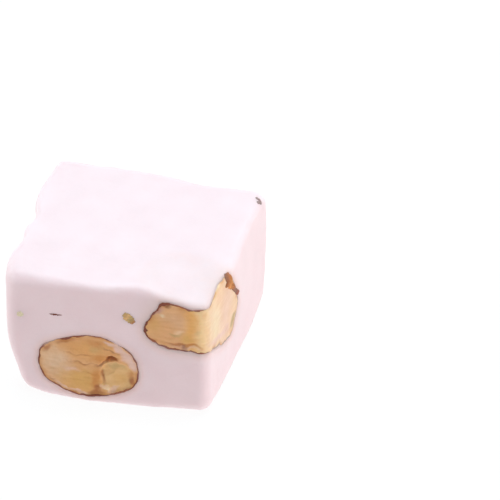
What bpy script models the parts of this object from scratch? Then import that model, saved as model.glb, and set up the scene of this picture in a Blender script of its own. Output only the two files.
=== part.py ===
"""A piece of soft white almond nougat, about 3 cm square, cut by hand.

The sweet is one soft block with whole almonds in it.  The knife went through four
of them, so each of the four cut sides shows almond sections that lie flush with the
nougat.  The pressed top and the underside are plain.

Frame: metres, +Z up, origin at the middle of the piece's box, on the surface that it
rests on.  The side with the large oval almond section faces -Y.  Lengths in this file
are in millimetres, measured from the middle of the nominal square, until they reach a
mesh; the objects' location then moves them to the origin above.
"""

import bpy
import bmesh
import numpy as np
from mathutils import Euler

MM = 0.001

# ---- driving sizes, millimetres -------------------------------------------------
SIDE = 28.0            # nominal side of the square
HEIGHT = 17.8          # underside to pressed top
EDGE_RADIUS = 1.1      # softness of an ordinary edge
GAP = 0.3              # room for the brown skin between an almond and the nougat
LIP = 1.0              # nougat left over an almond that lies just under the top
LID_SPAN = 0.9         # share of the half side over which the top's level counts

HALF = np.array([SIDE / 2, SIDE / 2, HEIGHT / 2])

# Where the eight corners really are: the knife and the soft paste left none square.
# Keys are the signs of x, y and z.
CORNERS = {
    (-1, -1, -1): (-13.5, -15.2, 0.0),
    (1, -1, -1): (14.65, -15.2, 0.0),
    (1, 1, -1): (14.8, 14.6, 0.0),
    (-1, 1, -1): (-14.9, 14.3, 0.0),
    (-1, -1, 1): (-13.8, -14.6, 17.4),
    (1, -1, 1): (14.2, -14.5, 17.3),
    (1, 1, 1): (14.8, 14.3, 17.8),
    (-1, 1, 1): (-15.0, 14.9, 17.8),
}

# Places that are rounder than the edges: corner or mid-edge, extra radius, reach.
SOFT_CORNERS = (
    ((-1, -1, -1), 0.7, 4.0),
    ((1, 1, -1), 2.4, 4.5),
    ((1, -1, -1), 0.5, 4.0),
    ((-1, -1, 1), 0.9, 6.0),
    ((1, 1, 1), 0.5, 4.0),
    ((1, -1, 0), 0.2, 9.0),
    ((-1, -1, 0), 0.3, 9.0),
)

# Bulges and dents of the soft block: middle, reach along x, y, z, and shift.
BULGES = (
    ((-3.0, -15.5, 0.0), (12.0, 6.0, 9.0), (0.0, -1.5, 0.0)),     # foot sags forward
    ((-13.5, -14.8, 0.0), (4.0, 7.0, 5.0), (1.9, 0.0, 0.0)),      # trimmed lower corner
    ((-2.0, -15.0, 14.0), (9.0, 6.0, 7.0), (0.0, -0.5, 0.0)),     # front, full middle
    ((5.0, -14.5, 17.8), (2.4, 3.0, 3.0), (0.0, 0.6, 0.0)),       # nick in the front edge
    ((4.2, -15.0, 17.8), (3.6, 4.0, 3.5), (0.0, 0.0, 0.65)),      # crest on the front edge
    ((-2.8, -15.0, 17.8), (5.0, 4.0, 3.5), (0.0, 0.0, 0.28)),     # the edge beside it
    ((11.5, -15.0, 17.8), (4.2, 4.5, 5.0), (0.0, 0.0, -0.5)),     # lip drooping on the almond
    ((14.0, -14.8, 17.4), (2.5, 3.0, 3.0), (0.0, 0.0, -0.3)),     # lowest corner of that lip
    ((15.0, -4.0, 15.5), (6.0, 7.0, 5.0), (0.7, 0.0, -0.2)),      # right shoulder
    ((-15.0, 7.5, 16.5), (5.0, 6.0, 7.0), (-0.8, 0.0, 0.0)),      # left edge, rear swell
    ((-14.5, 0.6, 17.5), (5.0, 2.0, 5.0), (0.45, 0.0, 0.0)),      # left edge, nick
    ((-14.5, -2.4, 17.5), (5.0, 1.6, 5.0), (-0.3, 0.0, 0.0)),     # left edge, small swell
    ((-14.5, -5.4, 17.5), (5.0, 1.6, 5.0), (0.25, 0.0, 0.0)),     # left edge, second nick
    ((-14.5, -9.8, 17.5), (5.0, 3.2, 5.0), (-0.65, 0.0, 0.0)),    # left edge, front swell
    ((6.5, 14.5, 17.8), (4.5, 4.0, 8.0), (0.0, -0.8, 0.0)),       # rear edge, hollow
    ((-3.0, 14.5, 17.8), (6.0, 4.0, 8.0), (0.0, 0.3, 0.0)),       # rear edge, swell
)

# Almond kernels.  The long axis is the kernel's own y; power 2 is a plain ellipsoid and
# a higher power is blunter; taper makes the end towards -y wider than the other.
ALMONDS = {
    "almond_front": {
        "centre": (-1.95, -12.8, 5.62), "half_sizes": (7.35, 8.6, 4.67),
        "turn": (0.0, -4.0, 4.0), "power": 2.1, "taper": 0.0,
    },
    "almond_corner": {
        "centre": (9.9, -5.7, 10.3), "half_sizes": (5.9, 10.65, 5.5),
        "turn": (-34.6, 6.8, -4.2), "power": 2.55, "taper": -0.40,
    },
    "almond_left": {
        "centre": (-13.2, 2.4, 9.2), "half_sizes": (4.6, 7.8, 4.6),
        "turn": (32.0, 0.0, 0.0), "power": 2.1, "taper": -0.12,
    },
    "almond_back": {
        "centre": (1.5, 13.2, 8.2), "half_sizes": (4.0, 10.0, 3.5),
        "turn": (0.0, 14.0, -90.0), "power": 2.1, "taper": -0.18,
    },
}

# ---- mesh density ----------------------------------------------------------------
BLOCK_CUTS = 13        # loops across each side of the block
EDGE_CROWDING = 1.7    # above 1 the loops gather at the edges
ALMOND_SEGMENTS = 28
ALMOND_RINGS = 18
SHARP_ANGLE = np.radians(35.0)

# ---- colours, linear, and roughness ----------------------------------------------
NOUGAT_COLOUR = (0.90, 0.78, 0.79, 1.0)
NOUGAT_ROUGHNESS = 0.55
KERNEL_COLOUR = (0.60, 0.36, 0.16, 1.0)
KERNEL_ROUGHNESS = 0.5


def clear_scene():
    for thing in list(bpy.data.objects):
        bpy.data.objects.remove(thing)


def new_collection(name):
    group = bpy.data.collections.new(name)
    bpy.context.scene.collection.children.link(group)
    return group


def new_material(name, colour, roughness):
    material = bpy.data.materials.new(name)
    material.use_nodes = True
    shader = material.node_tree.nodes["Principled BSDF"]
    shader.inputs["Base Color"].default_value = colour
    shader.inputs["Roughness"].default_value = roughness
    shader.inputs["Metallic"].default_value = 0.0
    return material


# ---- the block's form --------------------------------------------------------------
def edge_radius(cube):
    """Radius of the rounding near each point of the cube from -1 to 1."""
    radius = np.full(len(cube), EDGE_RADIUS)
    for corner, extra, reach in SOFT_CORNERS:
        distance = np.linalg.norm((cube - np.array(corner)) * HALF, axis=1)
        radius += extra * np.exp(-(distance / reach) ** 2)
    return radius[:, None]


def rounded_box(cube):
    """Move the points of the cube's surface onto a box with round edges."""
    radius = edge_radius(cube)
    point = cube * HALF
    inner = np.clip(point, radius - HALF, HALF - radius)
    outward = point - inner
    length = np.linalg.norm(outward, axis=1, keepdims=True)
    return inner + outward / np.maximum(length, 1e-9) * np.where(length > 0, radius, 0.0)


def block_surface(cube):
    """The real surface of the block, in mm, for points on the cube from -1 to 1."""
    share = rounded_box(cube) / HALF
    placed = np.zeros_like(share)
    for signs, corner in CORNERS.items():
        weight = np.prod(1.0 + np.array(signs) * share, axis=1) / 8.0
        placed += weight[:, None] * np.array(corner)
    shifted = placed.copy()
    for middle, reach, shift in BULGES:
        distance = (placed - np.array(middle)) / np.array(reach)
        shifted += np.exp(-(distance ** 2).sum(axis=1))[:, None] * np.array(shift)
    shifted[:, 2] = np.where(placed[:, 2] <= 0.0, 0.0, shifted[:, 2])
    return shifted


def lid_height(x, y):
    """Highest level an almond may reach under the pressed top at x, y."""
    cube = np.stack([np.clip(x / HALF[0], -LID_SPAN, LID_SPAN),
                     np.clip(y / HALF[1], -LID_SPAN, LID_SPAN),
                     np.ones_like(x)], axis=1)
    return block_surface(cube)[:, 2] - LIP


# ---- the almonds' form ---------------------------------------------------------------
def almond_surface(sphere, almond, growth):
    """The surface of a kernel, in mm, for points on the unit sphere."""
    reach = (np.abs(sphere) ** almond["power"]).sum(axis=1) ** (-1.0 / almond["power"])
    share = sphere * reach[:, None]
    point = share * (np.array(almond["half_sizes"]) + growth)
    point[:, [0, 2]] *= 1.0 + almond["taper"] * share[:, 1:2]
    turn = np.array(Euler(np.radians(almond["turn"]), "XYZ").to_matrix())
    point = point @ turn.T + np.array(almond["centre"])
    point[:, 2] = np.minimum(point[:, 2], lid_height(point[:, 0], point[:, 1]) + growth)
    return point


# ---- meshes ----------------------------------------------------------------------------
def crowd_to_edges(values):
    """Spread evenly spaced loops so that they gather at -1 and 1."""
    return np.sign(values) * (1.0 - (1.0 - np.abs(values)) ** EDGE_CROWDING)


def mesh_from_bmesh(shape, name, surface):
    """Finish a primitive: put each vertex where surface says, and make it a mesh."""
    places = surface(np.array([vertex.co[:] for vertex in shape.verts]))
    for vertex, place in zip(shape.verts, places):
        vertex.co = place * MM
    mesh = bpy.data.meshes.new(name)
    shape.to_mesh(mesh)
    shape.free()
    return mesh


def block_mesh(name):
    shape = bmesh.new()
    bmesh.ops.create_cube(shape, size=2.0)
    bmesh.ops.subdivide_edges(shape, edges=shape.edges[:], cuts=BLOCK_CUTS, use_grid_fill=True)
    return mesh_from_bmesh(shape, name, lambda cube: block_surface(crowd_to_edges(cube)))


def centring_shift(mesh):
    """The location that puts the middle of the mesh's box over the origin."""
    places = np.array([vertex.co[:] for vertex in mesh.vertices])
    middle = (places.min(axis=0) + places.max(axis=0)) / 2.0
    return (-middle[0], -middle[1], 0.0)


def almond_mesh(name, almond, growth):
    shape = bmesh.new()
    bmesh.ops.create_uvsphere(shape, u_segments=ALMOND_SEGMENTS, v_segments=ALMOND_RINGS, radius=1.0)
    return mesh_from_bmesh(shape, name, lambda sphere: almond_surface(sphere, almond, growth))


def new_object(name, mesh, group, location):
    thing = bpy.data.objects.new(name, mesh)
    thing.location = location
    group.objects.link(thing)
    return thing


def new_cutter(name, mesh, group, location):
    cutter = new_object(name, mesh, group, location)
    cutter.hide_render = True
    cutter.display_type = "WIRE"
    return cutter


def add_boolean(thing, cutter, operation):
    modifier = thing.modifiers.new(cutter.name, "BOOLEAN")
    modifier.object = cutter
    modifier.operation = operation
    modifier.solver = "EXACT"


def finish(thing, material):
    """Apply the cuts, shade the round parts smooth and give the material."""
    bpy.context.view_layer.update()
    evaluated = thing.evaluated_get(bpy.context.evaluated_depsgraph_get())
    mesh = bpy.data.meshes.new_from_object(evaluated)
    thing.modifiers.clear()
    thing.data = mesh
    mesh.name = thing.name
    mesh.shade_smooth()
    mesh.set_sharp_from_angle(angle=SHARP_ANGLE)
    mesh.materials.clear()
    mesh.materials.append(material)


def build():
    clear_scene()
    parts = new_collection("nougat_piece")
    cutters = new_collection("cutters")
    nougat_material = new_material("nougat", NOUGAT_COLOUR, NOUGAT_ROUGHNESS)
    kernel_material = new_material("almond_kernel", KERNEL_COLOUR, KERNEL_ROUGHNESS)

    uncut = block_mesh("whole_block")
    location = centring_shift(uncut)
    whole_block = new_cutter("whole_block", uncut, cutters, location)
    nougat = new_object("nougat", block_mesh("nougat"), parts, location)
    for name, almond in ALMONDS.items():
        pocket_name = name.replace("almond", "pocket")
        pocket = new_cutter(pocket_name, almond_mesh(pocket_name, almond, GAP), cutters, location)
        add_boolean(nougat, pocket, "DIFFERENCE")
        kernel = new_object(name, almond_mesh(name, almond, 0.0), parts, location)
        add_boolean(kernel, whole_block, "INTERSECT")
        finish(kernel, kernel_material)
    finish(nougat, nougat_material)


build()
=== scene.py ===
"""Looks of the almond nougat piece: fine meshes, procedural materials, light and camera.

The forms repeat the formulas of the CAD part, at a finer grain.  They are in
millimetres in the part's design frame (middle of the nominal square, +Z up, the side
with the large oval almond facing -Y) until to_frame() puts them in the row frame.
"""

from collections import namedtuple

import bmesh
import bpy
import numpy as np
from mathutils import Euler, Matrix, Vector
from mathutils.bvhtree import BVHTree


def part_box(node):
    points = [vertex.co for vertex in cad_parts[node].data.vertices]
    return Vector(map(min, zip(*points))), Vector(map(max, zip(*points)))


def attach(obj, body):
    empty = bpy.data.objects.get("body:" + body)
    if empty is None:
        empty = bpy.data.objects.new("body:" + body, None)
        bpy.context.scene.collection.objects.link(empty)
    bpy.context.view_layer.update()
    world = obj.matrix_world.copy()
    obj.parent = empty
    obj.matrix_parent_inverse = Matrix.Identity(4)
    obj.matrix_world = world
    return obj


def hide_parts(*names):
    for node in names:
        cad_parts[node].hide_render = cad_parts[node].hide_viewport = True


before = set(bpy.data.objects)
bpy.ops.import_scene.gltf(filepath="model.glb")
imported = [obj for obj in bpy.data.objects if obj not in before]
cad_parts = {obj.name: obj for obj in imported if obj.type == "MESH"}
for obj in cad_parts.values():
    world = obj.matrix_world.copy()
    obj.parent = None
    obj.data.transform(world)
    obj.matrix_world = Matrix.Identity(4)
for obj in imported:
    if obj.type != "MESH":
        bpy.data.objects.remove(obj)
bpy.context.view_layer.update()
MM = 0.001
TINY = 1e-9            # keeps a division by zero away

# ---- driving sizes of the part, millimetres ------------
SIDE = 28.0            # nominal side of the square
HEIGHT = 17.8          # underside to pressed top
EDGE_RADIUS = 1.1      # softness of an ordinary edge
GAP = 0.3              # room for the brown skin between an almond and the nougat
LIP = 1.0              # nougat left over an almond that lies just under the top
LID_SPAN = 0.9         # share of the half side over which the top's level counts
HALF = np.array([SIDE / 2, SIDE / 2, HEIGHT / 2])
MIDDLE = np.array([0.0, 0.0, HEIGHT / 2])

# Where the corners of the block really are: signs of x, y and z, and the place.
CORNERS = {
    (-1, -1, -1): (-13.5, -15.2, 0.0),
    (1, -1, -1): (14.65, -15.2, 0.0),
    (1, 1, -1): (14.8, 14.6, 0.0),
    (-1, 1, -1): (-14.9, 14.3, 0.0),
    (-1, -1, 1): (-13.8, -14.6, 17.4),
    (1, -1, 1): (14.2, -14.5, 17.3),
    (1, 1, 1): (14.8, 14.3, 17.8),
    (-1, 1, 1): (-15.0, 14.9, 17.8),
}

# Places that are rounder than the edges: corner or mid-edge, extra radius, reach.
SOFT_CORNERS = (
    ((-1, -1, -1), 0.7, 4.0),
    ((1, 1, -1), 2.4, 4.5),
    ((1, -1, -1), 0.5, 4.0),
    ((-1, -1, 1), 0.9, 6.0),
    ((1, 1, 1), 0.5, 4.0),
    ((1, -1, 0), 0.2, 9.0),
    ((-1, -1, 0), 0.3, 9.0),
)

# Bulges and dents of the soft block: middle, reach along x, y, z, and shift.
BULGES = (
    ((-3.0, -15.5, 0.0), (12.0, 6.0, 9.0), (0.0, -1.5, 0.0)),     # foot sags forward
    ((-13.5, -14.8, 0.0), (4.0, 7.0, 5.0), (1.9, 0.0, 0.0)),      # trimmed lower corner
    ((-2.0, -15.0, 14.0), (9.0, 6.0, 7.0), (0.0, -0.5, 0.0)),     # front, full middle
    ((5.0, -14.5, 17.8), (2.4, 3.0, 3.0), (0.0, 0.6, 0.0)),       # nick in the front edge
    ((4.2, -15.0, 17.8), (3.6, 4.0, 3.5), (0.0, 0.0, 0.65)),      # crest on the front edge
    ((-2.8, -15.0, 17.8), (5.0, 4.0, 3.5), (0.0, 0.0, 0.28)),     # the edge beside it
    ((11.5, -15.0, 17.8), (4.2, 4.5, 5.0), (0.0, 0.0, -0.5)),     # lip drooping on the almond
    ((14.0, -14.8, 17.4), (2.5, 3.0, 3.0), (0.0, 0.0, -0.3)),     # lowest corner of that lip
    ((15.0, -4.0, 15.5), (6.0, 7.0, 5.0), (0.7, 0.0, -0.2)),      # right shoulder
    ((-15.0, 7.5, 16.5), (5.0, 6.0, 7.0), (-0.8, 0.0, 0.0)),      # left edge, rear swell
    ((-14.5, 0.6, 17.5), (5.0, 2.0, 5.0), (0.45, 0.0, 0.0)),      # left edge, nick
    ((-14.5, -2.4, 17.5), (5.0, 1.6, 5.0), (-0.3, 0.0, 0.0)),     # left edge, small swell
    ((-14.5, -5.4, 17.5), (5.0, 1.6, 5.0), (0.25, 0.0, 0.0)),     # left edge, second nick
    ((-14.5, -9.8, 17.5), (5.0, 3.2, 5.0), (-0.65, 0.0, 0.0)),    # left edge, front swell
    ((6.5, 14.5, 17.8), (4.5, 4.0, 8.0), (0.0, -0.8, 0.0)),       # rear edge, hollow
    ((-3.0, 14.5, 17.8), (6.0, 4.0, 8.0), (0.0, 0.3, 0.0)),       # rear edge, swell
)

# Almond kernels: long axis along the kernel's own y.
ALMONDS = {
    "front": {
        "centre": (-1.95, -12.8, 5.62), "half_sizes": (7.35, 8.6, 4.67),
        "turn": (0.0, -4.0, 4.0), "power": 2.1, "taper": 0.0,
    },
    "corner": {
        "centre": (9.9, -5.7, 10.3), "half_sizes": (5.9, 10.65, 5.5),
        "turn": (-34.6, 6.8, -4.2), "power": 2.55, "taper": -0.40,
    },
    "left": {
        "centre": (-13.2, 2.4, 9.2), "half_sizes": (4.6, 7.8, 4.6),
        "turn": (32.0, 0.0, 0.0), "power": 2.1, "taper": -0.12,
    },
    "back": {
        "centre": (1.5, 13.2, 8.2), "half_sizes": (4.0, 10.0, 3.5),
        "turn": (0.0, 14.0, -90.0), "power": 2.1, "taper": -0.18,
    },
}

# Finer unevenness of the almonds: place, reach, and how far the surface grows there, or
# shrinks where that is below zero.
SWELLS = {
    "front": (
        ((2.8, -15.5, 9.2), 2.4, -0.42),
        ((5.0, -15.6, 6.6), 1.8, -0.34),
        ((-5.6, -15.4, 9.2), 2.4, -0.36),
        ((-9.2, -15.8, 5.4), 2.2, -0.18),
        ((4.0, -15.9, 3.1), 1.8, 0.22),
        ((0.5, -16.4, 1.4), 2.2, 0.10),
        ((-6.0, -16.4, 2.0), 1.6, -0.22),
    ),
    "corner": (
        ((8.9, -14.5, 16.0), 2.0, 0.25),       # up under the drooping lip
        ((15.2, -10.8, 16.8), 2.2, 0.50),      # nearly bare on the right side
        ((15.0, -8.0, 17.0), 3.0, 0.50),
        ((6.9, -14.7, 15.8), 1.3, -0.50),      # slanting upper left, which leaves a tip
        ((6.0, -14.8, 14.2), 1.3, -0.45),
        ((5.8, -15.0, 11.8), 1.2, -0.10),
        ((9.5, -15.0, 9.7), 1.8, -0.10),
        ((11.4, -15.0, 9.4), 1.2, -0.30),
        ((13.6, -14.8, 9.6), 1.2, 0.25),
        ((15.0, -12.5, 8.9), 2.0, -0.20),
        ((14.8, -10.3, 8.2), 2.0, -0.32),
        ((14.9, -3.9, 6.6), 1.3, 0.30),
    ),
    "left": (
        ((-14.5, 7.5, 13.0), 2.4, -0.35),
        ((-14.5, -3.2, 5.2), 1.6, 0.30),
    ),
    "back": (
        ((-6.0, 14.5, 9.5), 2.4, 0.25),
        ((8.0, 14.5, 5.5), 2.0, -0.30),
    ),
}

# Where an almond's skin is thicker, or thinner below zero: place, reach, change.
SKIN_SPOTS = {
    "front": (
        ((-8.8, -15.9, 5.2), 1.3, 0.12),
        ((-8.3, -15.7, 8.0), 0.5, 0.12),
        ((-4.8, -15.6, 9.4), 1.0, 0.10),
        ((-0.9, -16.6, 1.3), 1.1, 0.18),
        ((-5.6, -16.5, 1.9), 1.6, 0.06),
        ((2.4, -15.5, 9.0), 1.6, -0.05),
        ((-6.4, -15.6, 8.9), 0.7, -0.08),
    ),
    "corner": (
        ((5.9, -15.0, 12.6), 1.1, -0.10),
        ((9.0, -14.5, 16.3), 0.9, 0.12),
        ((11.6, -15.0, 9.5), 1.6, 0.03),
        ((14.4, -14.5, 16.2), 1.6, -0.20),
        ((15.0, -10.0, 16.5), 4.5, -0.20),
        ((14.7, -14.5, 9.7), 1.2, -0.16),
        ((14.8, -9.0, 7.8), 4.0, -0.08),
        ((15.0, -2.5, 11.0), 2.5, -0.10),
    ),
    "left": (
        ((-14.5, 5.5, 14.0), 2.0, 0.12),
        ((-14.5, -3.0, 6.0), 1.5, 0.10),
        ((-14.5, 1.0, 4.5), 2.2, -0.08),
    ),
    "back": (
        ((0.0, 14.5, 5.0), 4.0, 0.16),
        ((6.0, 14.5, 9.5), 3.0, -0.08),
    ),
}

# ---- grain of the fine meshes, millimetres -------------
BLOCK_STEP = 0.22
KERNEL_STEP = 0.11
SKIN_STEP = 0.18
COARSE_STEP = 1.4      # away from the almond that a mesh is made for
ZONE_MARGIN = 1.0      # round that almond, still finely meshed
SPHERE_SEGMENTS = 96
SPHERE_RINGS = 64
SHARP_ANGLE = np.radians(50.0)
SEAM = 0.02            # how far neighbours run into each other, so that no crack opens
NEAR = 2.0             # how far from its rim an almond is still felt


# ---- colours -------------------------------------------
def paint(red, green, blue):
    """Linear colour from 0-255 display values, by the sRGB curve."""
    share = np.array([red, green, blue]) / 255.0
    return np.where(share <= 0.04045, share / 12.92, ((share + 0.055) / 1.055) ** 2.4)


TAN = paint(229, 174, 123)
PALE = paint(230, 193, 158)
WARM = paint(228, 168, 103)
OCHRE = paint(224, 172, 100)
STRAW = paint(229, 182, 124)
LEMON = paint(236, 192, 134)
CREAM = paint(244, 207, 169)
BLUSH = paint(238, 200, 184)
ORANGE = paint(210, 140, 82)
RUST = paint(178, 106, 62)
BROWN = paint(146, 88, 58)
DARK = paint(126, 64, 46)
BARK = paint(162, 94, 70)
PLUM = paint(156, 104, 94)
FAWN = paint(206, 178, 164)
OLIVE = paint(190, 160, 108)
NOUGAT = paint(246, 222, 225)
ROSE = paint(255, 206, 198)
BUTTER = paint(242, 224, 188)
PINK = paint(206, 158, 150)
ASH = paint(160, 136, 132)
AMBER = paint(212, 142, 76)
SIENNA = paint(176, 108, 62)
UMBER = paint(140, 98, 80)
BRICK = paint(164, 86, 60)
GOLD = paint(238, 176, 100)
HONEY = paint(252, 214, 158)


# ---- form of the block ---------------------------------
def edge_radius(cube):
    """Radius of the rounding near each point of the cube from -1 to 1."""
    radius = np.full(len(cube), EDGE_RADIUS)
    for corner, extra, reach in SOFT_CORNERS:
        distance = np.linalg.norm((cube - np.array(corner)) * HALF, axis=1)
        radius += extra * np.exp(-(distance / reach) ** 2)
    return radius[:, None]


def rounded_box(cube):
    """Move the points of the cube's surface onto a box with round edges."""
    radius = edge_radius(cube)
    point = cube * HALF
    inner = np.clip(point, radius - HALF, HALF - radius)
    outward = point - inner
    length = np.linalg.norm(outward, axis=1, keepdims=True)
    return inner + outward / np.maximum(length, TINY) * np.where(length > 0, radius, 0.0)


def block_surface(cube):
    """The real surface of the block for points on the cube from -1 to 1."""
    share = rounded_box(cube) / HALF
    placed = np.zeros_like(share)
    for signs, corner in CORNERS.items():
        weight = np.prod(1.0 + np.array(signs) * share, axis=1) / 8.0
        placed += weight[:, None] * np.array(corner)
    shifted = placed.copy()
    for middle, reach, shift in BULGES:
        distance = (placed - np.array(middle)) / np.array(reach)
        shifted += np.exp(-(distance ** 2).sum(axis=1))[:, None] * np.array(shift)
    shifted[:, 2] = np.where(placed[:, 2] <= 0.0, 0.0, shifted[:, 2])
    return shifted


def lid_height(x, y):
    """Highest level an almond may reach under the pressed top at x, y."""
    cube = np.stack([np.clip(x / HALF[0], -LID_SPAN, LID_SPAN),
                     np.clip(y / HALF[1], -LID_SPAN, LID_SPAN),
                     np.ones_like(x)], axis=1)
    return block_surface(cube)[:, 2] - LIP


# ---- form of the almonds -------------------------------
def turn_of(almond):
    return np.array(Euler(np.radians(almond["turn"]), "XYZ").to_matrix())


def spots_sum(points, spots):
    """Sum of soft round spots, each a place, a reach and an amount."""
    total = np.zeros(len(points))
    for place, reach, amount in spots:
        distance = ((points - np.array(place)) ** 2).sum(axis=1)
        total += amount * np.exp(-distance / reach ** 2)
    return total


def almond_surface(sphere, almond, growth):
    """The surface of a kernel grown by growth, for points on the unit sphere."""
    growth = np.broadcast_to(growth, len(sphere))
    reach = (np.abs(sphere) ** almond["power"]).sum(axis=1) ** (-1.0 / almond["power"])
    share = sphere * reach[:, None]
    point = share * (np.array(almond["half_sizes"]) + growth[:, None])
    point[:, [0, 2]] *= 1.0 + almond["taper"] * share[:, 1:2]
    point = point @ turn_of(almond).T + np.array(almond["centre"])
    point[:, 2] = np.minimum(point[:, 2], lid_height(point[:, 0], point[:, 1]) + growth)
    return point


# ---- patterns ------------------------------------------
WAVES = 40             # cosine waves in a random pattern
STROKE_END = 0.25      # weight of a stroke at its ends, against 1 at mid-length


def field(points, size, seed):
    """A smooth random pattern, waves of about size mm, mostly between -2 and 2."""
    random = np.random.default_rng(seed)
    waves = random.normal(size=(3, WAVES)) * 2.0 * np.pi / (size * np.sqrt(3.0))
    starts = random.uniform(0.0, 2.0 * np.pi, WAVES)
    return np.cos(points @ waves + starts).sum(axis=1) * np.sqrt(2.0 / WAVES)


def uneven(points, ripples, base=0.0):
    """A base with ripples on it: smooth random patterns, each an amount, a size and a seed."""
    return sum((amount * field(points, size, seed) for amount, size, seed in ripples), base)


def bell(distance, reach):
    """Weight that falls smoothly from 1 at no distance to nearly 0 at twice the reach."""
    return np.exp(-(distance / reach) ** 2)


def smooth_step(low, high, value):
    """Weight that rises smoothly from 0 at low to 1 at high."""
    share = np.clip((value - low) / (high - low), 0.0, 1.0)
    return share * share * (3.0 - 2.0 * share)


def stroke(points, start, end, width):
    """Weight of a thin straight stroke from start to end, 1 on its line, tapered."""
    start, end = np.array(start), np.array(end)
    along = end - start
    share = np.clip((points - start) @ along / (along @ along), 0.0, 1.0)
    distance = np.linalg.norm(points - start - share[:, None] * along, axis=1)
    taper = STROKE_END + 4.0 * (1.0 - STROKE_END) * share * (1.0 - share)
    return bell(distance, width) * taper


def blended(colours, other, weight):
    """The colours, moved towards another one by a weight for each."""
    return colours + weight[:, None] * (other - colours)


# ---- tools for meshes ----------------------------------
def grid_faces(index):
    """Quads over a two-dimensional array of vertex numbers."""
    corners = (index[:-1, :-1], index[1:, :-1], index[1:, 1:], index[:-1, 1:])
    return np.stack(corners, axis=-1).reshape(-1, 4)


def cube_grid(lines):
    """Points and outward quads of the cube from -1 to 1, with loops at the given places."""
    counts = [len(places) for places in lines]
    shell = np.zeros(counts, bool)
    for axis in range(3):
        np.moveaxis(shell, axis, 0)[[0, -1]] = True
    index = np.full(counts, -1)
    index[shell] = np.arange(shell.sum())
    points = np.stack(np.meshgrid(*lines, indexing="ij"), axis=-1)[shell]
    sides = (
        grid_faces(index[0])[:, ::-1], grid_faces(index[-1]),
        grid_faces(index[:, 0]), grid_faces(index[:, -1])[:, ::-1],
        grid_faces(index[:, :, 0])[:, ::-1], grid_faces(index[:, :, -1]),
    )
    return points, np.concatenate(sides).tolist()


def even_lines(step):
    """Loops for the whole block, about step mm apart."""
    return [np.linspace(-1.0, 1.0, 2 * round(half / step) + 1) for half in HALF]


def zone_lines(low, high, step):
    """Loops that are step mm apart from low to high and wide apart elsewhere."""
    lines = []
    for half, start, stop in zip(HALF, low - MIDDLE, high - MIDDLE):
        start = max(start, -half)
        stop = min(stop, half)
        counts = (start + half) / COARSE_STEP, (stop - start) / step, (half - stop) / COARSE_STEP
        before, inside, after = (int(np.ceil(count)) + 1 for count in counts)
        places = np.concatenate([np.linspace(-half, start, before),
                                 np.linspace(start, stop, inside),
                                 np.linspace(stop, half, after)])
        lines.append(np.unique(places.round(6)) / half)
    return lines


def form_box():
    """Lowest and highest corners of the whole block, in the design frame."""
    points, _ = cube_grid(even_lines(BLOCK_STEP))
    form = block_surface(points)
    return form.min(axis=0), form.max(axis=0)


FRAME_LOW, FRAME_HIGH = (np.array(corner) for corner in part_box("nougat"))
FORM_LOW, FORM_HIGH = form_box()


def to_frame(points):
    """Design frame in mm to the row frame in metres, so that the block fills the CAD box."""
    share = (np.asarray(points) - FORM_LOW) / (FORM_HIGH - FORM_LOW)
    return FRAME_LOW + share * (FRAME_HIGH - FRAME_LOW)


def from_frame(points):
    """Row frame in metres back to the design frame in mm."""
    share = (np.asarray(points) - FRAME_LOW) / (FRAME_HIGH - FRAME_LOW)
    return FORM_LOW + share * (FORM_HIGH - FORM_LOW)


def new_object(name, points, faces):
    """An object in the row frame from points in the design frame."""
    mesh = bpy.data.meshes.new(name)
    mesh.from_pydata(to_frame(points).tolist(), [], faces)
    mesh.update()
    thing = bpy.data.objects.new(name, mesh)
    bpy.context.scene.collection.objects.link(thing)
    return thing


def read_vectors(items, key):
    """One vector for each of a mesh's items, as rows of an array."""
    values = np.empty(len(items) * 3, np.float32)
    items.foreach_get(key, values)
    return values.reshape(-1, 3).astype(float)


def points_of(thing):
    """The vertices of an object, in the design frame."""
    return from_frame(read_vectors(thing.data.vertices, "co"))


def raise_surface(thing, heights):
    """Move the vertices along their normals by heights in mm."""
    normals = read_vectors(thing.data.vertex_normals, "vector")
    places = to_frame(points_of(thing) + normals * heights[:, None])
    thing.data.vertices.foreach_set("co", places.ravel())
    thing.data.update()


def combine(thing, other, operation):
    """Apply an exact Boolean and remove the other object."""
    modifier = thing.modifiers.new("cut", "BOOLEAN")
    modifier.object = other
    modifier.operation = operation
    modifier.solver = "EXACT"
    bpy.context.view_layer.update()
    evaluated = thing.evaluated_get(bpy.context.evaluated_depsgraph_get())
    mesh = bpy.data.meshes.new_from_object(evaluated)
    thing.modifiers.clear()
    thing.data = mesh
    bpy.data.objects.remove(other)


def signed_distance(points, tree, reach):
    """Distance of points from a closed surface, below zero inside it; reach where far."""
    distances = np.full(len(points), reach)
    for number, point in enumerate(points):
        place, normal, _, distance = tree.find_nearest(point, reach)
        if place is not None:
            distances[number] = distance if (Vector(point) - place).dot(normal) > 0.0 else -distance
    return distances


def unit_sphere():
    """Points and faces of a ball of radius 1."""
    shape = bmesh.new()
    bmesh.ops.create_uvsphere(shape, u_segments=SPHERE_SEGMENTS, v_segments=SPHERE_RINGS, radius=1.0)
    points = np.array([vertex.co[:] for vertex in shape.verts])
    faces = [[vertex.index for vertex in face.verts] for face in shape.faces]
    shape.free()
    return points, faces


def store_colour(thing, colours):
    """Keep one colour for each vertex, for the material to read."""
    layer = thing.data.attributes.new("tint", "FLOAT_COLOR", "POINT")
    values = np.concatenate([np.clip(colours, 0.0, 1.0), np.ones((len(colours), 1))], axis=1)
    layer.data.foreach_set("color", values.ravel())


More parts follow.
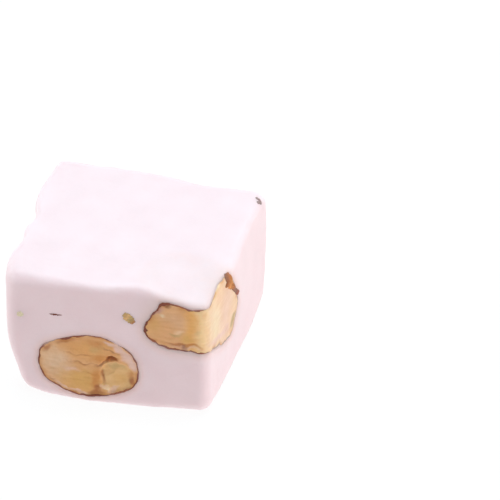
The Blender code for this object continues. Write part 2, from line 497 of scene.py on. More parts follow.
def complete(thing, material, nodes=()):
    """Smooth shading, material, and the piece's place in the frame."""
    mesh = thing.data
    mesh.name = thing.name
    mesh.materials.clear()
    mesh.materials.append(material)
    mesh.shade_smooth()
    mesh.set_sharp_from_angle(angle=SHARP_ANGLE)
    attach(thing, "root")
    if nodes:
        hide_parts(*nodes)


# ---- marks on the cut faces ----------------------------
# A mark is a soft-edged oval on a cut face.  across and up are its middle, tilt turns it
# anticlockwise as seen from outside, and edge is the softness of its outline (0 crisp, 1
# soft).  depth raises a kernel's face there, or sinks it where below zero, and ink is how far
# the colour takes over.
Mark = namedtuple("Mark", "across up half_across half_up tilt edge depth colour ink")

# How far across a cut face a point lies: across = point . run + start
FACES = {
    "front": {"run": (1.0, 0.0, 0.0), "start": 0.0},
    "corner": {"run": (1.0, 1.0, 0.0), "start": 15.0},     # goes on round the corner
    "left": {"run": (0.0, -1.0, 0.0), "start": 0.0},
    "back": {"run": (-1.0, 0.0, 0.0), "start": 0.0},
}

KERNEL_MARKS = {
    "front": (
        Mark(-6.4, 5.5, 2.0, 2.1, 0, 0.8, 0.0, PALE, 0.85),         # pale end of the big lobe
        Mark(-1.8, 8.0, 3.6, 1.4, 0, 0.8, 0.0, WARM, 0.9),          # warmer upper part
        Mark(-2.4, 3.4, 2.9, 1.7, 0, 0.8, 0.0, OCHRE, 0.9),         # yellower lower part
        Mark(-4.2, 4.9, 0.9, 0.3, 0, 0.9, 0.0, BLUSH, 0.5),
        Mark(-0.76, 8.2, 0.9, 0.5, 0, 0.9, 0.0, OLIVE, 0.4),
        Mark(-0.7, 8.95, 0.8, 0.4, -12, 0.9, 0.0, ORANGE, 0.5),
        Mark(-5.1, 9.0, 1.1, 0.30, 20, 0.8, -0.04, RUST, 0.75),     # bruise under the skin
        Mark(-7.6, 7.4, 0.55, 0.30, 40, 0.8, -0.04, RUST, 0.65),
        Mark(-2.8, 7.2, 2.0, 0.08, 4, 0.9, -0.05, RUST, 0.40),      # three long grain lines
        Mark(-2.5, 5.95, 2.1, 0.10, -1, 0.9, -0.06, RUST, 0.45),
        Mark(-1.8, 4.6, 1.9, 0.07, -2, 0.9, -0.04, RUST, 0.25),
        Mark(2.0, 4.5, 2.35, 2.05, -20, 0.12, -0.26, LEMON, 0.95),  # broken second lobe, lower
        Mark(0.9, 5.5, 1.3, 0.8, 25, 0.15, -0.08, STRAW, 0.9),
        Mark(2.5, 4.1, 0.9, 0.7, 0, 0.9, -0.05, OCHRE, 0.5),
        Mark(2.0, 6.15, 1.0, 0.35, -12, 0.8, 0.0, OLIVE, 0.5),
        Mark(-0.80, 3.9, 0.50, 1.5, 0, 0.7, 0.05, AMBER, 0.85),     # orange band at the break, partly painted shade where the big lobe curves down to it
        Mark(0.10, 4.45, 0.28, 0.90, 14, 0.6, -0.10, SIENNA, 0.8),  # shadowed notch
        Mark(0.70, 2.75, 0.68, 0.28, -28, 0.5, 0.10, CREAM, 0.95),  # pale chip
        Mark(-0.3, 2.5, 0.55, 0.45, 40, 0.7, -0.08, RUST, 0.8),
        Mark(-0.7, 1.75, 0.95, 0.42, 8, 0.6, -0.06, SIENNA, 0.85),
        Mark(1.45, 7.15, 0.75, 0.30, 4, 0.5, -0.45, RUST, 0.95),    # crevice between the lobes
        Mark(0.65, 6.75, 0.72, 0.22, 36, 0.6, -0.30, RUST, 0.85),
        Mark(-0.25, 6.15, 0.70, 0.14, 26, 0.7, -0.12, BROWN, 0.6),
        Mark(-0.3, 6.90, 1.1, 0.42, 14, 0.9, 0.0, AMBER, 0.9),
        Mark(3.9, 4.8, 0.40, 0.60, -10, 0.8, 0.0, ORANGE, 0.7),
        Mark(4.15, 4.0, 0.35, 0.45, -20, 0.6, -0.03, RUST, 0.85),
        Mark(1.0, 9.15, 0.8, 0.30, -18, 0.5, -0.06, BLUSH, 0.9),    # pale margin by the skin
        Mark(2.25, 8.65, 0.9, 0.45, -32, 0.5, -0.08, BLUSH, 0.95),
        Mark(3.35, 7.65, 1.0, 0.60, -45, 0.5, -0.08, BLUSH, 0.95),
        Mark(4.20, 6.45, 0.9, 0.58, -62, 0.5, -0.08, BLUSH, 0.95),
        Mark(-5.3, 2.25, 1.3, 0.20, -26, 0.5, -0.04, BLUSH, 0.7),
        Mark(-3.1, 1.75, 1.3, 0.18, -8, 0.5, -0.04, BLUSH, 0.7),
        Mark(1.6, 2.45, 0.9, 0.20, 22, 0.5, -0.04, BLUSH, 0.6),
        Mark(1.3, 8.2, 0.8, 0.08, -14, 0.7, -0.05, BROWN, 0.6),
        Mark(-6.7, 3.1, 0.40, 0.10, -12, 0.7, 0.0, PLUM, 0.5),
    ),
    "corner": (
        Mark(21.8, 12.0, 8.4, 12.0, 0, 0.16, 0.0, CREAM, 1.0),      # the paler right side, setting in just before the corner edge: partly painted light, the lit side lighter than the shaded front
        # Lighter and yellower just before the corner edge: partly painted light, where the light
        # starts to reach round the corner
        Mark(13.5, 12.8, 1.5, 4.2, 0, 0.8, 0.0, HONEY, 0.85),
        Mark(12.4, 13.2, 0.8, 3.4, 0, 0.9, 0.0, GOLD, 0.9),
        Mark(6.8, 13.0, 1.3, 1.3, 0, 0.9, 0.0, OCHRE, 0.5),
        Mark(9.9, 14.2, 2.0, 0.9, -10, 0.9, 0.0, PALE, 0.35),
        Mark(10.4, 12.4, 0.6, 0.35, 15, 0.8, 0.03, CREAM, 0.6),     # mottles
        Mark(10.0, 11.9, 0.8, 0.20, 10, 0.8, -0.02, OLIVE, 0.7),
        Mark(8.4, 14.5, 0.35, 0.25, 0, 0.8, 0.03, BUTTER, 0.6),
        Mark(13.4, 12.5, 0.35, 0.30, 0, 0.9, -0.02, OLIVE, 0.3),
        Mark(11.8, 11.3, 1.0, 0.7, 0, 0.9, 0.0, OCHRE, 0.9),
        Mark(7.9, 15.4, 0.90, 0.50, 34, 0.6, -0.05, PINK, 0.85),    # bared pinkish skin
        Mark(9.0, 16.25, 0.65, 0.28, -4, 0.6, -0.04, BROWN, 0.9),
        Mark(11.0, 10.45, 2.1, 0.24, -1, 0.7, -0.06, RUST, 0.65),   # rusty line above the rim
        Mark(11.3, 10.1, 0.35, 0.25, 0, 0.6, -0.04, BROWN, 0.8),
        Mark(12.9, 10.3, 0.90, 0.26, -8, 0.7, -0.04, AMBER, 0.8),
        Mark(11.6, 10.0, 2.2, 0.20, -4, 0.6, 0.03, BLUSH, 0.4),
        Mark(18.0, 12.0, 1.8, 3.0, 20, 0.9, 0.0, BUTTER, 0.6),      # yellower next to the edge
        Mark(22.8, 11.6, 2.2, 4.6, 0, 0.9, 0.0, BLUSH, 0.55),       # pinker away from it
        Mark(19.0, 9.25, 3.2, 0.55, -17, 0.6, -0.03, BLUSH, 0.85),  # pale margin low down
        Mark(23.0, 8.15, 1.6, 0.55, -14, 0.6, -0.03, BLUSH, 0.8),
        Mark(26.3, 7.7, 1.1, 0.75, 30, 0.5, -0.03, OLIVE, 0.85),    # olive spot on the rim
    ),
    "left": (
        Mark(-4.6, 9.8, 2.6, 2.4, 20, 0.8, 0.0, PALE, 0.8),
        Mark(0.5, 8.6, 3.0, 1.6, 25, 0.8, 0.0, WARM, 0.7),
        Mark(-2.6, 9.4, 2.0, 0.10, 22, 0.8, -0.12, RUST, 0.6),      # line between the lobes
        Mark(0.7, 11.0, 1.7, 0.09, 34, 0.8, -0.12, RUST, 0.5),
        Mark(1.9, 11.7, 0.5, 0.25, 30, 0.6, -0.25, RUST, 0.8),
        Mark(-5.6, 6.8, 0.9, 0.35, -30, 0.8, -0.04, BROWN, 0.5),
        Mark(-2.2, 7.0, 0.7, 0.35, 15, 0.8, 0.03, CREAM, 0.6),
        Mark(2.6, 9.6, 0.6, 0.4, 30, 0.9, 0.0, OLIVE, 0.5),
    ),
    "back": (
        Mark(-1.5, 8.2, 9.0, 2.8, 0, 0.5, 0.0, CREAM, 0.85),        # long pale slice
        Mark(1.0, 8.4, 6.0, 0.12, -14, 0.8, -0.12, ORANGE, 0.5),    # line between the lobes
        Mark(-6.0, 8.9, 0.7, 0.35, 10, 0.7, -0.20, RUST, 0.6),
        Mark(0.5, 5.9, 3.2, 0.45, -10, 0.7, -0.05, ORANGE, 0.8),    # rusty lower rim
        Mark(2.6, 5.8, 1.0, 0.30, -10, 0.6, -0.04, BROWN, 0.7),
        Mark(7.6, 9.6, 0.8, 0.5, -10, 0.8, 0.0, OLIVE, 0.6),
        Mark(-3.0, 9.4, 1.6, 0.6, 10, 0.9, 0.0, STRAW, 0.6),
    ),
}

# Marks on the skins only colour them; their depths are all 0.
SKIN_MARKS = {
    "front": (
        Mark(-8.8, 5.6, 1.2, 2.0, 0, 0.7, 0.0, DARK, 0.8),
        Mark(-4.6, 9.4, 1.5, 1.0, 0, 0.7, 0.0, DARK, 0.7),
        Mark(-0.9, 1.3, 1.8, 1.0, 0, 0.7, 0.0, DARK, 0.9),
        Mark(4.6, 4.2, 0.9, 0.9, 0, 0.7, 0.0, DARK, 0.6),
        Mark(-7.2, 8.4, 1.2, 1.0, 0, 0.6, 0.0, FAWN, 0.7),
    ),
    "corner": (
        Mark(8.2, 16.0, 1.8, 1.2, 0, 0.7, 0.0, DARK, 0.7),
        Mark(6.0, 12.6, 0.9, 2.0, 0, 0.7, 0.0, DARK, 0.9),
        Mark(11.6, 9.6, 1.6, 0.9, 0, 0.7, 0.0, DARK, 0.6),
        Mark(25.5, 12.0, 10.0, 12.0, 0, 0.1, 0.0, FAWN, 0.8),       # paler all over the right side
    ),
    "left": (
        Mark(-6.5, 10.5, 1.4, 2.6, 0, 0.7, 0.0, DARK, 0.8),
        Mark(4.6, 9.0, 1.2, 1.6, 0, 0.7, 0.0, FAWN, 0.6),
    ),
    "back": (
        Mark(9.0, 9.6, 2.6, 1.2, 0, 0.7, 0.0, DARK, 0.8),
        Mark(-4.0, 11.0, 2.4, 1.0, 0, 0.7, 0.0, FAWN, 0.6),
    ),
}

# How far the outlines of the marks stray: ripples, each an amount, a size and a seed.
STRAY_ACROSS = ((0.12, 1.8, 31), (0.05, 0.6, 32))
STRAY_UP = ((0.12, 1.8, 33), (0.05, 0.6, 34))


def warped_place(points, name):
    """How far across and how far up a cut face each point is, with a little wander."""
    face = FACES[name]
    across = points @ np.array(face["run"]) + face["start"]
    return uneven(points, STRAY_ACROSS, across), uneven(points, STRAY_UP, points[:, 2])


def mark_weight(across, up, mark):
    """How much of a mark there is at each place, from 0 to 1."""
    turn = np.radians(mark.tilt)
    side, rise = across - mark.across, up - mark.up
    along = (side * np.cos(turn) + rise * np.sin(turn)) / mark.half_across
    over = (rise * np.cos(turn) - side * np.sin(turn)) / mark.half_up
    return smooth_step(1.0 + mark.edge, 1.0 - mark.edge, np.hypot(along, over))


def inked(colours, points, name, marks):
    """The colours of points on a cut face, with the marks' colours laid over them."""
    across, up = warped_place(points, name)
    for mark in marks:
        colours = blended(colours, mark.colour, mark.ink * mark_weight(across, up, mark))
    return colours


# ---- forms under the skins -----------------------------
SKIN_STAND = 0.6 * GAP                 # how far a skin's outside is from the plain form
WRINKLES = ((0.030, 2.4, 11), (0.030, 1.0, 12))
SKIN_THICKNESS = 0.15
SKIN_CHANGES = ((0.05, 2.0, 13), (0.03, 0.7, 14))
SKIN_THINNEST = 0.02
SKIN_THICKEST = 0.45
SPHERE, SPHERE_FACES = unit_sphere()


def skin_reach(points, name):
    """How far the outside of the skin stands off the kernel's plain form."""
    return SKIN_STAND + uneven(points, WRINKLES) + spots_sum(points, SWELLS[name])


def kernel_reach(points, name):
    """How far the kernel's own surface stands off its plain form."""
    depth = uneven(points, SKIN_CHANGES, SKIN_THICKNESS)
    depth += spots_sum(points, SKIN_SPOTS[name])
    return skin_reach(points, name) - np.clip(depth, SKIN_THINNEST, SKIN_THICKEST)


def form_points(name, reach, extra=0.0):
    """An almond's form: its surface as far off the plain one as reach says, and extra."""
    plain = almond_surface(SPHERE, ALMONDS[name], 0.0)
    return almond_surface(SPHERE, ALMONDS[name], reach(plain, name) + extra)


def form_object(name, reach, extra=0.0):
    """The same form, to cut with."""
    return new_object("form", form_points(name, reach, extra), SPHERE_FACES)


def form_tree(name, reach):
    """The same form, to measure distances from."""
    return BVHTree.FromPolygons(form_points(name, reach).tolist(), SPHERE_FACES)


# ---- nougat --------------------------------------------
KNIFE_RIPPLES = ((0.035, 8.0, 1), (0.012, 3.0, 2))     # heights and sizes in mm, seeds
NOUGAT_RIPPLES = ((0.007, 1.4, 3), (0.004, 0.6, 4))
NOUGAT_MOTTLES = ((0.010, 5.0, 7),)
FOOT = 0.02            # mm, height below which the underside stays flat
PORES = 90
PORE_SEED = 6
PORE_RADII = (0.10, 0.26)
PORE_DEPTHS = (0.02, 0.09)
SCRATCH_DEPTH = 0.03
SCRATCH_WIDTH = 0.16
BANK_HEIGHT = 0.02     # of the low bank round each almond
BANK_DISTANCE = 0.5
BANK_REACH = 0.4
DITCH_DEPTH = 0.05     # of the fine ditch between that bank and the skin
DITCH_REACH = 0.2
STAIN_INK = 0.70       # of the rosy stain next to the skin
STAIN_REACH = 0.60
TOP_SCRATCHES = (
    ((6.5, -14.3, 17.3), (7.8, -14.6, 16.9)),
    ((7.5, -0.9, 17.8), (7.9, 3.6, 17.8)),
    ((5.7, 0.3, 17.8), (6.4, 3.0, 17.8)),
    ((5.9, 5.0, 17.8), (6.6, 7.2, 17.8)),
    ((-6.4, 2.9, 17.8), (-5.6, 5.4, 17.8)),
    ((-3.4, 7.4, 17.8), (-2.8, 8.6, 17.8)),
)


def broad_swell(points):
    """Unevenness that nougat and almonds share, because one knife cut made both."""
    return uneven(points, KNIFE_RIPPLES)


def pore_relief(points):
    """Small open bubbles."""
    random = np.random.default_rng(PORE_SEED)
    middles = points[random.integers(0, len(points), PORES)]
    pores = [(middle, random.uniform(*PORE_RADII), random.uniform(*PORE_DEPTHS))
             for middle in middles]
    return -spots_sum(points, pores)


def rim_distance(points, reach):
    """Distance from the nearest almond form, NEAR or less, with the sign of outside."""
    nearest = np.full(len(points), NEAR)
    for name in ALMONDS:
        form = form_points(name, reach)
        low, high = form.min(axis=0) - NEAR, form.max(axis=0) + NEAR
        close = np.flatnonzero(((points > low) & (points < high)).all(axis=1))
        distances = signed_distance(points[close], form_tree(name, reach), NEAR)
        nearest[close] = np.minimum(nearest[close], distances)
    return nearest


def rim_relief(rim):
    """A low bank round each almond, with a fine ditch next to its skin."""
    bank = BANK_HEIGHT * bell(rim - BANK_DISTANCE, BANK_REACH)
    return bank - DITCH_DEPTH * bell(rim, DITCH_REACH)


def nougat_relief(points):
    """How far the nougat stands off its plain form; the underside stays flat."""
    height = broad_swell(points) + pore_relief(points) + uneven(points, NOUGAT_RIPPLES)
    for start, end in TOP_SCRATCHES:
        height -= SCRATCH_DEPTH * stroke(points, start, end, SCRATCH_WIDTH)
    height += rim_relief(rim_distance(points, skin_reach))
    return np.where(points[:, 2] < FOOT, 0.0, height)


def nougat_colours(points):
    """Faintly mottled white, stained rosy next to the almonds."""
    colours = NOUGAT * uneven(points, NOUGAT_MOTTLES, 1.0)[:, None]
    rim = rim_distance(points, skin_reach)
    return blended(colours, ROSE, STAIN_INK * bell(np.maximum(rim, 0.0), STAIN_REACH))


def relieved_block():
    """The whole block with the nougat's relief."""
    points, faces = cube_grid(even_lines(BLOCK_STEP))
    thing = new_object("nougat_body", block_surface(points), faces)
    raise_surface(thing, nougat_relief(points_of(thing)))
    return thing


def surface_tree(thing):
    """The outside of the block, to lay bits on."""
    faces = [polygon.vertices[:] for polygon in thing.data.polygons]
    return BVHTree.FromPolygons(points_of(thing).tolist(), faces)


def make_nougat(thing, material):
    """Cut the almonds' pockets into the block and finish it."""
    for name in ALMONDS:
        combine(thing, form_object(name, skin_reach, -SEAM), "DIFFERENCE")
    store_colour(thing, nougat_colours(points_of(thing)))
    complete(thing, material, ["nougat"])


# ---- almonds -------------------------------------------
KERNEL_SINK = 0.04                     # mm, kernel's face below the nougat's
SKIN_SINK = 0.03                       # mm, skin's face below the nougat's
KERNEL_RIPPLES = ((0.006, 0.5, 22),)
SKIN_RIPPLES = ((0.02, 0.9, 23),)
GRAIN_STRETCH = (0.3, 0.3, 1.8)        # the grain lies level and is fine upwards
GRAIN_SIZE = 0.8                       # mm
GRAIN_SEED = 21
GRAIN_HEIGHT = 0.010                   # mm
GRAIN_SHADE = 0.025
GRAIN_TINT = (0.6, 1.0, 1.5)           # how much of that shade red, green and blue take
BLOTCHES = ((1.0, 1.6, 25),)
RIM_STAIN_REACH = 0.28                 # mm

# Patches of another colour: they set in where a smooth random pattern of this size and seed
# rises from low to high, up to the share ink.
Patches = namedtuple("Patches", "colour ink low high size seed")
RIM_STAIN = Patches(AMBER, 0.6, -1.0, 1.2, 2.2, 27)
SKIN_PATCHES = (
    Patches(PLUM, 0.8, -0.2, 1.4, 2.2, 24),
    Patches(RUST, 0.6, 0.4, 1.4, 3.0, 26),
)


def patch_weight(points, patches):
    """How far the patches' colour takes over at each point."""
    pattern = field(points, patches.size, patches.seed)
    return patches.ink * smooth_step(patches.low, patches.high, pattern)


def cut_block(name, almond_name, step, relief):
    """The block with its relief, finely meshed only round one almond."""
    form = form_points(almond_name, skin_reach)
    low, high = form.min(axis=0) - ZONE_MARGIN, form.max(axis=0) + ZONE_MARGIN
    points, faces = cube_grid(zone_lines(low, high, step))
    thing = new_object(name, block_surface(points), faces)
    raise_surface(thing, relief(points_of(thing), almond_name))
    return thing


def kernel_grain(points):
    """The fine level grain of a kernel's cut face."""
    return field(points * GRAIN_STRETCH, GRAIN_SIZE, GRAIN_SEED)


def kernel_relief(points, name):
    """How far a kernel's face stands off the block's plain form."""
    height = broad_swell(points) - KERNEL_SINK
    across, up = warped_place(points, name)
    for mark in KERNEL_MARKS[name]:
        height += mark.depth * mark_weight(across, up, mark)
    return uneven(points, KERNEL_RIPPLES, height + GRAIN_HEIGHT * kernel_grain(points))


def kernel_colours(points, name):
    """Tan with the kernel's marks, stained amber in places along the rim, and grained."""
    colours = inked(np.tile(TAN, (len(points), 1)), points, name, KERNEL_MARKS[name])
    rim = signed_distance(points, form_tree(name, kernel_reach), NEAR)
    stain = patch_weight(points, RIM_STAIN) * bell(rim, RIM_STAIN_REACH)
    grain = uneven(points, BLOTCHES, kernel_grain(points))
    shade = 1.0 + GRAIN_SHADE * grain[:, None] * GRAIN_TINT
    return blended(colours, RIM_STAIN.colour, stain) * shade


def make_kernel(name, material):
    """One almond's kernel: the part of its form that lies in the block."""
    thing = cut_block("kernel_" + name, name, KERNEL_STEP, kernel_relief)
    combine(thing, form_object(name, kernel_reach, SEAM), "INTERSECT")
    store_colour(thing, kernel_colours(points_of(thing), name))
    complete(thing, material, ["almond_" + name])


def skin_relief(points, _):
    """How far a skin's face stands off the block's plain form, whichever almond it is."""
    return uneven(points, SKIN_RIPPLES, broad_swell(points) - SKIN_SINK)


def skin_colours(points, name):
    """Brown with patches of plum and rust, and the skin's marks."""
    colours = np.tile(BARK, (len(points), 1))
    for patches in SKIN_PATCHES:
        colours = blended(colours, patches.colour, patch_weight(points, patches))
    return inked(colours, points, name, SKIN_MARKS[name])


def make_skin(name, material):
    """One almond's brown skin: a shell between the nougat and the kernel."""
    thing = cut_block("skin_" + name, name, SKIN_STEP, skin_relief)
    combine(thing, form_object(name, skin_reach), "INTERSECT")
    combine(thing, form_object(name, kernel_reach), "DIFFERENCE")
    store_colour(thing, skin_colours(points_of(thing), name))
    complete(thing, material)


# ---- small bits on the surface -------------------------
# For each side: the way across, the way up, and the way out.
SIDES = {
    "front": ((1, 0, 0), (0, 0, 1), (0, -1, 0)),
    "right": ((0, 1, 0), (0, 0, 1), (1, 0, 0)),
    "back": ((-1, 0, 0), (0, 0, 1), (0, 1, 0)),
    "left": ((0, -1, 0), (0, 0, 1), (-1, 0, 0)),
    "top": ((1, 0, 0), (0, 1, 0), (0, 0, 1)),
}
BIT_LENGTHS = 28       # points along a bit
BIT_WIDTHS = 11        # points across it
BIT_SINK = 0.01        # mm, how far the edge of a bit lies below the surface
BIT_ROOT = 0.12        # mm, how deep the underside of a flat bit is buried
ROOT_SHARE = 0.2       # and how much of its lift a proud bit is buried deeper
FAR = 40.0             # mm, outside the block on every side

# A wobble is a random pattern on the bits: its amount, how long and wide half a bit is in
# it, the size of its waves, and its seed on the first bit.
Wobble = namedtuple("Wobble", "amount half_length half_width size seed")
SIDE_WOBBLE = Wobble(1.0, 3.0, 1.0, 0.5, 40)
SIDE_SPACING = 7.0     # from one bit's sides to the next one's in their pattern
LIFT_WOBBLE = Wobble(0.3, 4.0, 1.0, 1.2, 60)
SHADE_WOBBLE = Wobble(0.10, 5.0, 2.0, 1.0, 80)

# A bit is a flat scrap that lies in the surface.  Its spine is a few places (across, up)
# with half widths, lift is how proud its middle stands, ragged is how uneven its sides are,
# and its colours follow one another along the spine.
Bit = namedtuple("Bit", "name side slot spine lift ragged colours")
BITS = (
    Bit("flake_corner", "right", "almond_skin",
        ((-6.9, 17.0, 0.30), (-6.6, 16.4, 0.95), (-6.2, 15.6, 0.85), (-5.5, 14.7, 0.50),
         (-4.5, 13.7, 0.42), (-3.2, 12.4, 0.25), (-2.2, 11.5, 0.42), (-1.1, 10.7, 0.30)),
        0.22, 0.20, (UMBER, SIENNA, AMBER, SIENNA, UMBER, BRICK, BRICK)),
    Bit("crumb_front", "front", "almond",
        ((2.9, 14.1, 0.32), (3.4, 13.75, 0.56), (3.9, 13.35, 0.56), (4.35, 12.90, 0.36)),
        0.10, 0.15, (OLIVE, STRAW, OLIVE, SIENNA)),
    Bit("dash_front", "front", "almond_skin",
        ((-7.3, 12.54, 0.03), (-6.7, 12.58, 0.12), (-6.1, 12.62, 0.10), (-5.4, 12.70, 0.03)),
        0.05, 0.25, (PLUM, DARK, DARK, PLUM)),
    Bit("grain_front", "front", "almond",
        ((-11.9, 11.6, 0.25), (-11.4, 11.65, 0.42), (-10.9, 11.7, 0.22)),
        0.03, 0.20, (BUTTER, BUTTER, BUTTER)),
    Bit("scrap_corner", "top", "almond_skin",
        ((13.7, 11.80, 0.22), (14.05, 11.95, 0.26), (14.35, 11.85, 0.24),
         (14.3, 11.40, 0.22), (14.15, 11.00, 0.20)),
        0.06, 0.15, (ASH, ASH, ASH)),
    Bit("crumb_left", "left", "almond",
        ((8.6, 12.6, 0.22), (9.1, 12.3, 0.42), (9.7, 12.2, 0.24)),
        0.10, 0.15, (OLIVE, OCHRE, OLIVE)),
    Bit("dash_left", "left", "almond_skin",
        ((-9.6, 4.6, 0.03), (-8.9, 4.75, 0.13), (-8.0, 4.7, 0.03)),
        0.05, 0.25, (PLUM, DARK, PLUM)),
    Bit("flake_back", "back", "almond_skin",
        ((3.4, 5.0, 0.10), (4.6, 4.75, 0.42), (6.0, 4.8, 0.34), (7.4, 5.2, 0.12)),
        0.12, 0.12, (SIENNA, BROWN, RUST, BROWN)),
    Bit("grain_back", "back", "almond",
        ((-10.4, 14.2, 0.25), (-9.9, 14.1, 0.45), (-9.4, 14.2, 0.25)),
        0.03, 0.20, (BUTTER, BUTTER, BUTTER)),
    Bit("dash_back", "back", "almond_skin",
        ((9.4, 12.4, 0.03), (10.0, 12.5, 0.12), (10.8, 12.4, 0.03)),
        0.05, 0.25, (PLUM, DARK, PLUM)),
)


def smooth_samples(controls, count):
    """Even samples of a smooth curve through the control rows."""
    controls = np.array(controls, float)
    places = np.linspace(0.0, len(controls) - 1.0, count)
    first = np.clip(places.astype(int), 0, len(controls) - 2)
    share = (places - first)[:, None]
    slopes = np.gradient(controls, axis=0)
    cube, square = share ** 3, share ** 2
    return ((2 * cube - 3 * square + 1) * controls[first] + (cube - 2 * square + share) * slopes[first]
            + (3 * square - 2 * cube) * controls[first + 1] + (cube - square) * slopes[first + 1])


def bit_grid():
    """How far along a bit and how far over it each of its points is, from -1 to 1."""
    along, over = np.meshgrid(np.linspace(-1.0, 1.0, BIT_LENGTHS),
                              np.linspace(-1.0, 1.0, BIT_WIDTHS), indexing="ij")
    return along.ravel(), over.ravel()


def wobbled(wobble, along, over, seed, layer=0.0):
    """The wobble of the bit with this seed, at places along and over it from -1 to 1."""
    places = np.broadcast_arrays(wobble.half_length * along, wobble.half_width * over, layer)
    return wobble.amount * field(np.stack(places, axis=-1), wobble.size, wobble.seed + seed)


def bit_places(bit, seed):
    """Places (across, up) of a bit's points: its spine, widened, with ragged sides."""
    along, over = bit_grid()
    spine = smooth_samples(bit.spine, BIT_LENGTHS)
    ahead = np.gradient(spine[:, :2], axis=0)
    ahead /= np.linalg.norm(ahead, axis=1, keepdims=True)
    beside = np.stack([-ahead[:, 1], ahead[:, 0]], axis=1)
    rough = wobbled(SIDE_WOBBLE, along, np.sign(over), seed, SIDE_SPACING * seed)
    share = over * (1.0 + bit.ragged * rough * np.abs(over))
    width = share * np.repeat(spine[:, 2], BIT_WIDTHS)
    middle = np.repeat(spine[:, :2], BIT_WIDTHS, axis=0)
    return middle + width[:, None] * np.repeat(beside, BIT_WIDTHS, axis=0)


def bit_heights(bit, seed):
    """How proud of the surface the upper side of a bit stands."""
    along, over = bit_grid()
    dome = (1.0 - over ** 4) * (1.0 - along ** 6)
    wave = 1.0 + wobbled(LIFT_WOBBLE, along, over, seed)
    return bit.lift * dome * wave - BIT_SINK


def bit_colours(bit, seed):
    """The bit's colours along its spine, a little lighter and darker in places."""
    along, over = bit_grid()
    hues = np.repeat(smooth_samples(bit.colours, BIT_LENGTHS), BIT_WIDTHS, axis=0)
    shade = 1.0 + wobbled(SHADE_WOBBLE, along, over, seed)
    return hues * shade[:, None]


def dropped(places, side, tree):
    """Where places (across, up) meet a side of the block, and the normals there."""
    across_way, up_way, out_way = (np.array(way, float) for way in SIDES[side])
    starts = places[:, :1] * across_way + places[:, 1:] * up_way + FAR * out_way
    hits = [tree.ray_cast(Vector(start), Vector(-out_way))[:2] for start in starts]
    return np.array([place for place, _ in hits]), np.array([normal for _, normal in hits])


def closed_sheet_faces(rows, columns):
    """Faces of an upper sheet, of a lower one, and of the walls between them."""
    upper = np.arange(rows * columns).reshape(rows, columns)
    lower = upper + upper.size
    rim = np.concatenate([upper[:-1, 0], upper[-1, :-1], upper[:0:-1, -1], upper[0, :0:-1]])
    after = np.roll(rim, -1)
    walls = np.stack([rim, after, after + upper.size, rim + upper.size], axis=1)
    return np.concatenate([grid_faces(upper), grid_faces(lower)[:, ::-1], walls[:, ::-1]]).tolist()


def face_outwards(thing):
    """Turn all faces of a closed mesh to the outside."""
    shape = bmesh.new()
    shape.from_mesh(thing.data)
    bmesh.ops.recalc_face_normals(shape, faces=shape.faces[:])
    shape.to_mesh(thing.data)
    shape.free()


def make_bit(bit, seed, tree, material):
    """A ragged scrap with a domed upper side, a buried underside and a closed rim."""
    places, normals = dropped(bit_places(bit, seed), bit.side, tree)
    upper = places + normals * bit_heights(bit, seed)[:, None]
    lower = places - normals * (BIT_ROOT + ROOT_SHARE * bit.lift)
    thing = new_object(bit.name, np.concatenate([upper, lower]),
                       closed_sheet_faces(BIT_LENGTHS, BIT_WIDTHS))
    face_outwards(thing)
    store_colour(thing, np.tile(bit_colours(bit, seed), (2, 1)))
    complete(thing, material)


# ---- materials -----------------------------------------
def add_node(tree, kind, **settings):
    """A shader node with its properties, or its inputs where no property has the name."""
    node = tree.nodes.new(kind)
    for key, value in settings.items():
        if hasattr(node, key):
            setattr(node, key, value)
        else:
            node.inputs[key.replace("_", " ")].default_value = value
    return node


# A look is a material's finish: size of its grain in mm, how much the grain changes the
# colour, height of the grain in mm, roughness, gloss, the share of the light that goes in,
# and how far it goes there in red, green and blue, in mm.
Look = namedtuple("Look", "grain contrast bump roughness gloss scatter radius")
LOOKS = {
    "nougat": Look(0.35, 0.02, 0.02, 0.55, 0.4, 0.70, (1.0, 1.0, 1.0)),
    "almond": Look(0.30, 0.06, 0.04, 0.50, 0.3, 0.25, (0.6, 0.35, 0.2)),
    "almond_skin": Look(0.25, 0.25, 0.05, 0.65, 0.4, 0.0, (0.2, 0.1, 0.1)),
}
NOISE_DETAIL = 4.0
NOISE_ROUGHNESS = 0.6
FLOOR_SIZE = 4.0       # metres
FLOOR_COLOUR = (0.10, 0.10, 0.10, 1.0)
FLOOR_GLOW = 0.90
FLOOR_GLOW_COLOUR = (1.0, 1.0, 1.0, 1.0)
FLOOR_ROUGHNESS = 0.9
FLOOR_GLOSS = 0.2


def plain_material(name, finish):
    """A material and its shader, with the inputs set that finish names."""
    material = bpy.data.materials.new(name)
    material.use_nodes = True
    shader = material.node_tree.nodes["Principled BSDF"]
    for key, value in finish.items():
        shader.inputs[key].default_value = value
    return material, shader


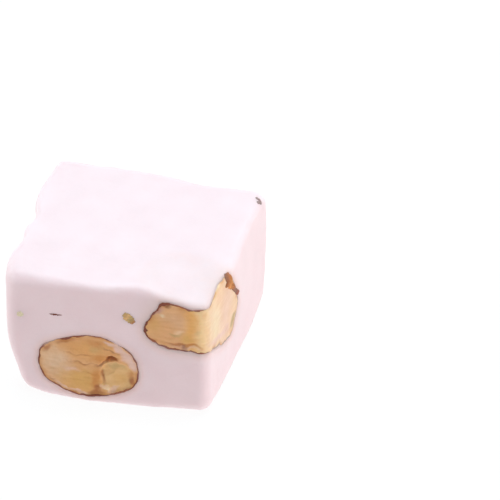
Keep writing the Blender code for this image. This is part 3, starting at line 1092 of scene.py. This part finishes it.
def new_material(name, look):
    """Vertex colour broken up by a fine grain, with the same grain as bump."""
    material, shader = plain_material(name, {
        "Roughness": look.roughness,
        "Specular IOR Level": look.gloss,
        "Subsurface Weight": look.scatter,
        "Subsurface Scale": MM,
        "Subsurface Radius": look.radius,
    })
    tree = material.node_tree
    tint = add_node(tree, "ShaderNodeAttribute", attribute_name="tint")
    place = add_node(tree, "ShaderNodeTexCoord")
    noise = add_node(tree, "ShaderNodeTexNoise", Scale=1.0 / (look.grain * MM),
                     Detail=NOISE_DETAIL, Roughness=NOISE_ROUGHNESS)
    span = add_node(tree, "ShaderNodeMapRange", To_Min=1.0 - look.contrast,
                    To_Max=1.0 + look.contrast)
    scaled = add_node(tree, "ShaderNodeVectorMath", operation="SCALE")
    relief = add_node(tree, "ShaderNodeBump", Strength=1.0, Distance=look.bump * MM)
    tree.links.new(place.outputs["Object"], noise.inputs["Vector"])
    tree.links.new(noise.outputs["Fac"], span.inputs["Value"])
    tree.links.new(tint.outputs["Color"], scaled.inputs[0])
    tree.links.new(span.outputs["Result"], scaled.inputs["Scale"])
    tree.links.new(scaled.outputs["Vector"], shader.inputs["Base Color"])
    tree.links.new(noise.outputs["Fac"], relief.inputs["Height"])
    tree.links.new(relief.outputs["Normal"], shader.inputs["Normal"])
    return material


def make_floor():
    """A table that is white by its own glow, so that shadows on it stay faint."""
    bpy.ops.mesh.primitive_plane_add(size=FLOOR_SIZE)
    floor = bpy.context.object
    floor.name = "floor"
    material, _ = plain_material("floor", {
        "Base Color": FLOOR_COLOUR,
        "Emission Color": FLOOR_GLOW_COLOUR,
        "Emission Strength": FLOOR_GLOW,
        "Roughness": FLOOR_ROUGHNESS,
        "Specular IOR Level": FLOOR_GLOSS,
    })
    floor.data.materials.append(material)


# ---- light and camera ----------------------------------
SKY_COLOUR = (0.98, 0.99, 1.0, 1.0)
SKY_STRENGTH = 0.365
# Name, way towards the light, strength, width in degrees, colour.
LIGHTS = (
    ("high_back", (0.0, 0.30, 0.95), 2.52, 50.0, (0.82, 1.00, 1.06)),
    ("right", (1.0, -0.05, 0.05), 1.47, 50.0, (1.13, 1.00, 0.98)),
    ("left", (-1.0, 0.0, 0.05), 1.35, 50.0, (1.05, 1.00, 1.00)),
)

CAMERA_AZIMUTH = np.radians(15.11)
CAMERA_ELEVATION = np.radians(32.65)
CAMERA_DISTANCE = 0.600                   # metres
CAMERA_FAR_CLIP = 10.0                    # metres
CAMERA_SENSOR = 36.0                      # mm, and the lens too
CAMERA_LENS = 316.9
CAMERA_TARGET = (13.33, 10.34, 10.13)     # mm, right of and behind the middle of the block


def make_light():
    """An even sky and three broad soft suns."""
    world = bpy.data.worlds.new("sky")
    bpy.context.scene.world = world
    world.use_nodes = True
    background = world.node_tree.nodes["Background"]
    background.inputs["Color"].default_value = SKY_COLOUR
    background.inputs["Strength"].default_value = SKY_STRENGTH
    for name, way, strength, width, colour in LIGHTS:
        light = bpy.data.objects.new(name, bpy.data.lights.new(name, "SUN"))
        light.data.energy = strength
        light.data.angle = np.radians(width)
        light.data.color = colour
        light.rotation_euler = Vector(way).to_track_quat("Z", "Y").to_euler()
        bpy.context.scene.collection.objects.link(light)


def make_camera():
    """A long lens from the front right and above."""
    camera = bpy.data.objects.new("camera", bpy.data.cameras.new("camera"))
    camera.data.sensor_width = CAMERA_SENSOR
    camera.data.lens = CAMERA_LENS
    camera.data.clip_end = CAMERA_FAR_CLIP
    back = Vector((np.sin(CAMERA_AZIMUTH) * np.cos(CAMERA_ELEVATION),
                   -np.cos(CAMERA_AZIMUTH) * np.cos(CAMERA_ELEVATION),
                   np.sin(CAMERA_ELEVATION)))
    camera.location = Vector(to_frame(CAMERA_TARGET)) + CAMERA_DISTANCE * back
    camera.rotation_euler = back.to_track_quat("Z", "Y").to_euler()
    bpy.context.scene.collection.objects.link(camera)
    bpy.context.scene.camera = camera


def main():
    materials = {slot: new_material(slot, look) for slot, look in LOOKS.items()}
    block = relieved_block()
    tree = surface_tree(block)
    make_nougat(block, materials["nougat"])
    for name in ALMONDS:
        make_kernel(name, materials["almond"])
        make_skin(name, materials["almond_skin"])
    for seed, bit in enumerate(BITS):
        make_bit(bit, seed, tree, materials[bit.slot])
    make_floor()
    make_light()
    make_camera()
    bpy.context.scene.view_settings.view_transform = "Standard"


main()
